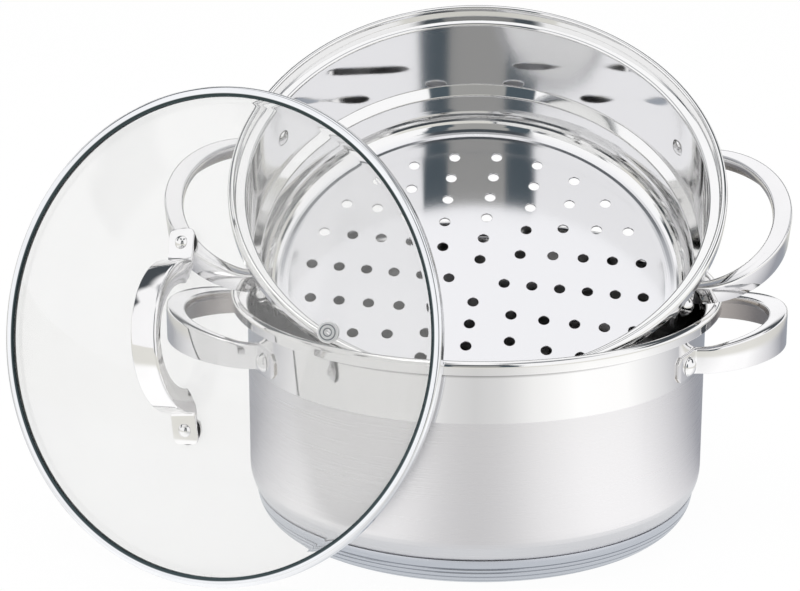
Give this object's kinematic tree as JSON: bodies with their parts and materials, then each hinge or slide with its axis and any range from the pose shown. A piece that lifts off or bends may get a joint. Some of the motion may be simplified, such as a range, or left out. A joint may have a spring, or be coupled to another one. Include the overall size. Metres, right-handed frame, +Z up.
{
  "type": "steamer pot",
  "caption": "Steel stockpot with a perforated steamer insert tilted in its mouth and a domed glass lid leaning on its rim.",
  "frame": {"origin": "centre of the pot's base, on the surface it stands on", "axes": "+Z up along the pot's axis, +X towards the right handle, -Y towards the viewer of the picture"},
  "size_m": [0.4091, 0.2743, 0.2569],
  "materials": {
    "brushed_body": "brushed body with a polished rim",
    "mirror_steel": "mirror-polished inside",
    "polished_steel": "polished",
    "base_steel": "turned",
    "aluminium_core": "plain, hidden",
    "lid_glass": "clear tempered",
    "black_rubber": "matte"
  },
  "bodies": {
    "pot": {"pot_shell": "brushed_body", "base_core": "aluminium_core", "base_cap": "base_steel", "pot_handle_right": "polished_steel", "pot_handle_left": "polished_steel", "pot_handle_right_rivets": "polished_steel", "pot_handle_left_rivets": "polished_steel"},
    "insert": {"insert_shell": "mirror_steel", "insert_handle_right": "polished_steel", "insert_handle_left": "polished_steel", "insert_handle_right_rivets": "polished_steel", "insert_handle_left_rivets": "polished_steel"},
    "lid": {"lid_glass": "lid_glass", "lid_rim_band": "polished_steel", "lid_handle": "polished_steel", "vent_grommet": "polished_steel", "lid_gasket_top": "black_rubber", "lid_screw_top": "polished_steel", "lid_washer_top": "polished_steel", "lid_nut_top": "polished_steel", "lid_gasket_bottom": "black_rubber", "lid_screw_bottom": "polished_steel", "lid_washer_bottom": "polished_steel", "lid_nut_bottom": "polished_steel"}
  },
  "joints": [
    {"name": "insert_lift", "type": "slide", "parent": "pot", "child": "insert", "axis": [0, 0.3173, 0.9483], "range_m": [0, 0.2]},
    {"name": "lid_lift", "type": "slide", "parent": "pot", "child": "lid", "axis": [-0.301, -0.6399, 0.707], "range_m": [0, 0.2]}
  ]
}
